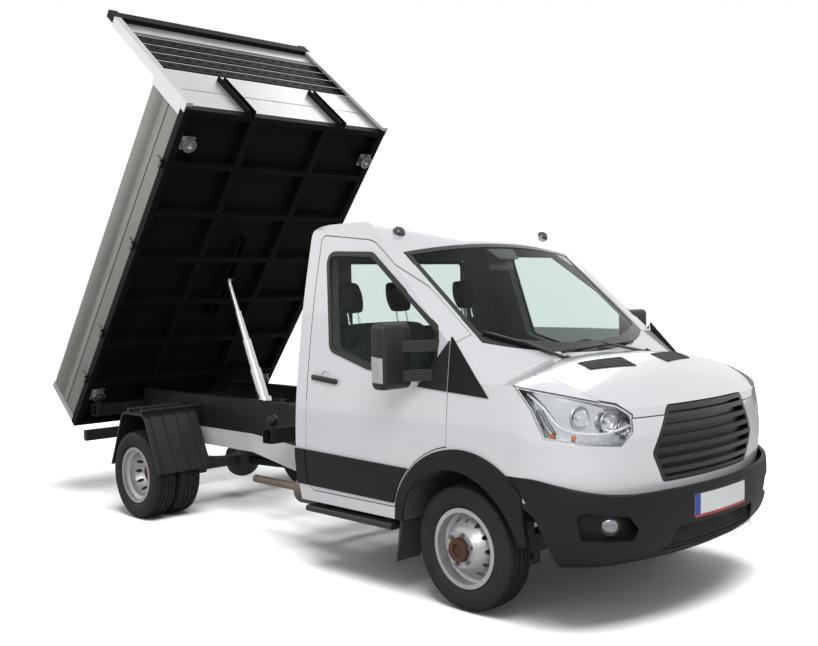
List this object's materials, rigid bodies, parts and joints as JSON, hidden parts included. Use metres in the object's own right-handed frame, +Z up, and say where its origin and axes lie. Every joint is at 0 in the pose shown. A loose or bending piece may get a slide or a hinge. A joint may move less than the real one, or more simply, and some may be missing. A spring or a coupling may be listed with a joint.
{
  "type": "tipper truck",
  "caption": "Van-based single-cab truck with a three-way tipping bed raised to the rear, opening doors, bonnet and dropsides, steering front wheels and twin rear wheels.",
  "frame": {"origin": "middle of the whole truck's box, on the ground", "axes": "+X forward, +Y to the truck's left, +Z up"},
  "size_m": [6.0683, 2.555, 4.0617],
  "materials": {
    "white_paint": "gloss",
    "charcoal": "grained",
    "dark_grille": "satin",
    "glass": "tinted",
    "lens": "clear",
    "lamp_chrome": "bright",
    "seat_fabric": "woven",
    "dash": "grained",
    "black_steel": "satin",
    "white_frame": "satin",
    "silver_rim": "satin",
    "tyre": "matte",
    "cast": "rough",
    "aluminium": "brushed",
    "zinc": "satin",
    "black_plastic": "matte",
    "rubber": "matte",
    "silencer_steel": "dull",
    "cylinder_steel": "polished",
    "amber": "gloss"
  },
  "bodies": {
    "chassis": {"chassis_rails": "white_frame", "tipper_subframe": "black_steel", "cab_shell": "white_paint", "cab_glass": "glass", "cab_cladding": "charcoal", "grille": "dark_grille", "headlamp_lenses": "lens", "headlamp_cups": "lamp_chrome", "front_bumper": "charcoal", "seats": "seat_fabric", "dashboard": "dash", "front_suspension": "cast", "rear_axle": "cast", "engine": "cast", "propshaft": "black_steel", "exhaust": "silencer_steel", "fuel_tank": "black_plastic", "rear_mudguards": "black_plastic", "mudflaps": "rubber", "side_steps": "black_plastic", "tail_bar": "black_plastic", "roof_lamps": "black_plastic", "wipers": "black_plastic"},
    "left_door": {"door_left": "white_paint", "door_glass_left": "glass", "door_cladding_left": "charcoal", "mirror_left": "black_plastic"},
    "right_door": {"door_right": "white_paint", "door_glass_right": "glass", "door_cladding_right": "charcoal", "mirror_right": "black_plastic"},
    "front_bonnet": {"bonnet": "white_paint"},
    "steering": {"steering_wheel": "dash"},
    "left_knuckle": {"knuckle_left": "cast"},
    "right_knuckle": {"knuckle_right": "cast"},
    "front_wheel_left": {"front_rim_left": "silver_rim", "front_tyre_left": "tyre"},
    "front_wheel_right": {"front_rim_right": "silver_rim", "front_tyre_right": "tyre"},
    "rear_wheels_left": {"rear_rims_left": "silver_rim", "rear_tyres_left": "tyre"},
    "rear_wheels_right": {"rear_rims_right": "silver_rim", "rear_tyres_right": "tyre"},
    "bed": {"bed_frame": "black_steel", "bed_posts": "aluminium", "tailgate": "aluminium", "headboard": "aluminium", "headboard_rack": "black_steel"},
    "left_dropside": {"dropside_left": "aluminium"},
    "right_dropside": {"dropside_right": "aluminium"},
    "lift_barrel": {"cylinder_barrel": "cylinder_steel"},
    "lift_stage_1": {"cylinder_stage_1": "cylinder_steel"},
    "lift_stage_2": {"cylinder_stage_2": "cylinder_steel"},
    "lift_stage_3": {"cylinder_stage_3": "cylinder_steel"},
    "lift_stage_4": {"cylinder_stage_4": "cylinder_steel"}
  },
  "joints": [
    {"name": "bed_tilt", "type": "hinge", "parent": "chassis", "child": "bed", "pos_m": [-2.35184, 0, 0.895], "axis": [0, -1, 0], "range_deg": [-51, 0]},
    {"name": "barrel_swing", "type": "hinge", "parent": "chassis", "child": "lift_barrel", "pos_m": [-1.12584, 0, 0.835], "axis": [0, -1, 0], "range_deg": [-25.5, 0]},
    {"name": "stage_1_slide", "type": "slide", "parent": "lift_barrel", "child": "lift_stage_1", "axis": [-0.4298, 0, 0.9029], "range_m": [-0.262, 0]},
    {"name": "stage_2_slide", "type": "slide", "parent": "lift_stage_1", "child": "lift_stage_2", "axis": [-0.4298, 0, 0.9029], "range_m": [-0.262, 0]},
    {"name": "stage_3_slide", "type": "slide", "parent": "lift_stage_2", "child": "lift_stage_3", "axis": [-0.4298, 0, 0.9029], "range_m": [-0.262, 0]},
    {"name": "stage_4_slide", "type": "slide", "parent": "lift_stage_3", "child": "lift_stage_4", "axis": [-0.4298, 0, 0.9029], "range_m": [-0.262, 0]},
    {"name": "left_dropside_hinge", "type": "hinge", "parent": "bed", "child": "left_dropside", "pos_m": [-1.66423, 0.996, 1.91575], "axis": [-0.6293, 0, -0.7771], "range_deg": [0, 160]},
    {"name": "right_dropside_hinge", "type": "hinge", "parent": "bed", "child": "right_dropside", "pos_m": [-1.66423, -0.996, 1.91575], "axis": [0.6293, 0, 0.7771], "range_deg": [0, 160]},
    {"name": "steer_left", "type": "hinge", "parent": "chassis", "child": "left_knuckle", "pos_m": [2.01416, 0.716, 0.2], "axis": [0, 0, 1], "range_deg": [-35, 35]},
    {"name": "steer_right", "type": "hinge", "parent": "chassis", "child": "right_knuckle", "pos_m": [2.01416, -0.716, 0.2], "axis": [0, 0, 1], "range_deg": [-35, 35]},
    {"name": "steering_wheel_turn", "type": "hinge", "parent": "chassis", "child": "steering", "pos_m": [1.75216, 0.43, 1.24], "axis": [-0.8829, 0, 0.4695], "range_deg": [-421, 421]},
    {"name": "front_wheel_left_spin", "type": "hinge", "parent": "left_knuckle", "child": "front_wheel_left", "pos_m": [2.01416, 0.866, 0.345], "axis": [0, 1, 0], "continuous": true},
    {"name": "rear_wheels_left_spin", "type": "hinge", "parent": "chassis", "child": "rear_wheels_left", "pos_m": [-1.48984, 0.8225, 0.345], "axis": [0, 1, 0], "continuous": true},
    {"name": "front_wheel_right_spin", "type": "hinge", "parent": "right_knuckle", "child": "front_wheel_right", "pos_m": [2.01416, -0.866, 0.345], "axis": [0, 1, 0], "continuous": true},
    {"name": "rear_wheels_right_spin", "type": "hinge", "parent": "chassis", "child": "rear_wheels_right", "pos_m": [-1.48984, -0.8225, 0.345], "axis": [0, 1, 0], "continuous": true},
    {"name": "left_door_hinge", "type": "hinge", "parent": "chassis", "child": "left_door", "pos_m": [1.96216, 1.046, 1.1], "axis": [0, 0, -1], "range_deg": [0, 70]},
    {"name": "right_door_hinge", "type": "hinge", "parent": "chassis", "child": "right_door", "pos_m": [1.96216, -1.046, 1.1], "axis": [0, 0, 1], "range_deg": [0, 70]},
    {"name": "bonnet_hinge", "type": "hinge", "parent": "chassis", "child": "front_bonnet", "pos_m": [2.29416, 0, 1.342], "axis": [0, -1, 0], "range_deg": [0, 55]}
  ],
  "couplings": [
    {"joint": "barrel_swing", "follows": "bed_tilt", "ratio": 0.49916},
    {"joint": "stage_1_slide", "follows": "bed_tilt", "m_per_rad": 0.29325},
    {"joint": "stage_2_slide", "follows": "bed_tilt", "m_per_rad": 0.29325},
    {"joint": "stage_3_slide", "follows": "bed_tilt", "m_per_rad": 0.29325},
    {"joint": "stage_4_slide", "follows": "bed_tilt", "m_per_rad": 0.29325},
    {"joint": "steer_right", "follows": "steer_left", "ratio": 1},
    {"joint": "steering_wheel_turn", "follows": "steer_left", "ratio": 12}
  ]
}
